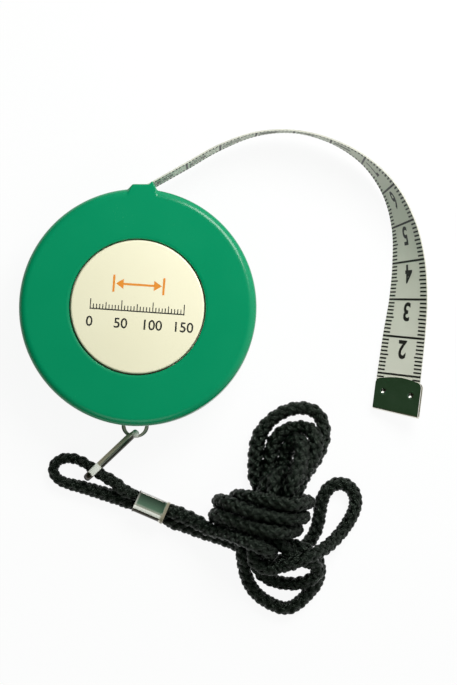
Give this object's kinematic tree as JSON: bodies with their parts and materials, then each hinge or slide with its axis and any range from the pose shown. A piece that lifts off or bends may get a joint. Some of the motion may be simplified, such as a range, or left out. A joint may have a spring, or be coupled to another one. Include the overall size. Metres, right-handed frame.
{
  "type": "retractable tape measure",
  "caption": "Round push-button tape measure with a spring-wound cloth tape partly pulled out and a black neck cord tied in a hank on its bail.",
  "frame": {"origin": "centre of the flat rear face of the round case", "axes": "+Z out through the button, +Y towards the mouth the tape leaves by, +X to the side the tape runs to"},
  "size_m": [0.1057, 0.1268, 0.0179],
  "materials": {
    "case_green": "satin gloss moulded",
    "button_cream": "satin moulded",
    "reel_plastic": "natural moulded",
    "spring_steel": "rolled",
    "nickel": "nickel plated",
    "brake_felt": "pressed felt",
    "tape_cloth": "coated cloth, printed",
    "cord_black": "braided"
  },
  "bodies": {
    "case": {"front_shell": "case_green", "rear_shell": "case_green", "spring_arbor": "reel_plastic", "mainspring": "spring_steel", "button_spring": "spring_steel", "lanyard_bail": "nickel"},
    "button": {"button_cap": "button_cream", "brake_ring": "brake_felt"},
    "reel": {"reel_drum": "reel_plastic", "reel_front_flange": "reel_plastic", "spring_cover": "reel_plastic", "wound_tape": "tape_cloth"},
    "tape": {"tape_blade": "tape_cloth", "tape_end_clip": "nickel"},
    "hook": {"snap_hook": "nickel"},
    "lanyard": {"cord_ferrule": "nickel", "cord_small_loop": "cord_black", "cord_lead": "cord_black", "cord_hank": "cord_black", "cord_free_loop": "cord_black"}
  },
  "joints": [
    {"name": "button_press", "type": "slide", "parent": "case", "child": "button", "axis": [0, 0, -1], "range_m": [0, 0.0016], "stiffness_N_per_m": 600, "springref_m": -0.002, "deforming": ["button_spring"]},
    {"name": "reel_spin", "type": "hinge", "parent": "case", "child": "reel", "pos_m": [0, 0, 0.00875], "axis": [0, 0, 1], "range_deg": [-30, 17]},
    {"name": "tape_pull", "type": "slide", "parent": "case", "child": "tape", "axis": [0.8704, 0.4924, 0], "range_m": [-0.008, 0.014]},
    {"name": "hook_swing", "type": "hinge", "parent": "case", "child": "hook", "pos_m": [-0.00105, -0.03205, 0.006], "axis": [0, 0, 1], "range_deg": [-25, 5]},
    {"name": "lanyard_swing", "type": "hinge", "parent": "hook", "child": "lanyard", "pos_m": [-0.01381, -0.04403, 0.00385], "axis": [0, 0, 1], "range_deg": [-20, 4]}
  ],
  "couplings": [
    {"joint": "tape_pull", "follows": "reel_spin", "m_per_rad": -0.026408}
  ]
}
